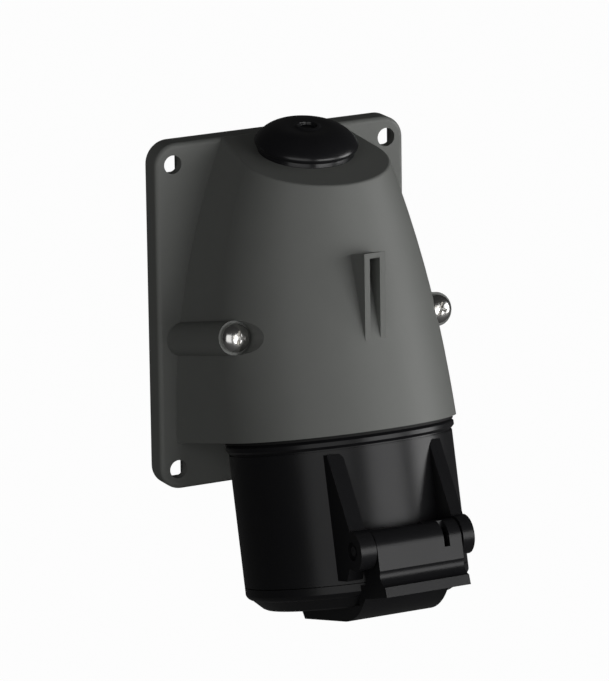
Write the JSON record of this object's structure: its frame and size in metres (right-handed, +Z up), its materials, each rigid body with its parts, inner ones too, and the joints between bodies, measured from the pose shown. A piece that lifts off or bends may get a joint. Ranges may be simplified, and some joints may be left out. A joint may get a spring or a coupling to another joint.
{
  "type": "industrial wall socket",
  "caption": "Angled surface-mounted industrial socket: square wall plate, domed grey cover with cable grommet, leaning black round collar and a spring-closed hinged lid.",
  "frame": {"origin": "on the wall plane, at the centre of the four wall screw holes", "axes": "+Z up the wall, -Y out of the wall towards the user, X along the wall; the wall plane is Y = 0"},
  "size_m": [0.0906, 0.1099, 0.1599],
  "materials": {
    "grey_plastic": "fine moulded grain, warm mid grey",
    "black_plastic": "fine moulded grain, near black",
    "black_rubber": "smooth satin rubber",
    "seal_rubber": "matt sealing rubber",
    "bright_screw": "bright nickel plate",
    "dark_steel": "stainless steel",
    "brass": "machined brass"
  },
  "bodies": {
    "housing": {"base_gasket": "seal_rubber", "base_plate": "grey_plastic", "housing_cover": "grey_plastic", "cable_grommet": "black_rubber", "cover_screw_left": "bright_screw", "cover_screw_right": "bright_screw", "thread_insert_left": "brass", "thread_insert_right": "brass", "collar": "black_plastic", "collar_seal": "seal_rubber", "hinge_pin": "dark_steel", "contact_carrier": "black_plastic", "contact_earth": "brass", "contact_line_1": "brass", "contact_line_2": "brass", "contact_line_3": "brass", "contact_neutral": "brass", "terminal_screws": "bright_screw", "carrier_screws": "bright_screw", "lid_spring": "dark_steel"},
    "lid": {"lid": "black_plastic", "lid_seal": "seal_rubber"}
  },
  "joints": [
    {"name": "lid_hinge", "type": "hinge", "parent": "housing", "child": "lid", "pos_m": [0, -0.0978, -0.05839], "axis": [-1, 0, 0], "range_deg": [0, 110], "stiffness_Nm_per_rad": 0.05, "springref_deg": -57.3, "deforming": ["lid_spring"]}
  ]
}
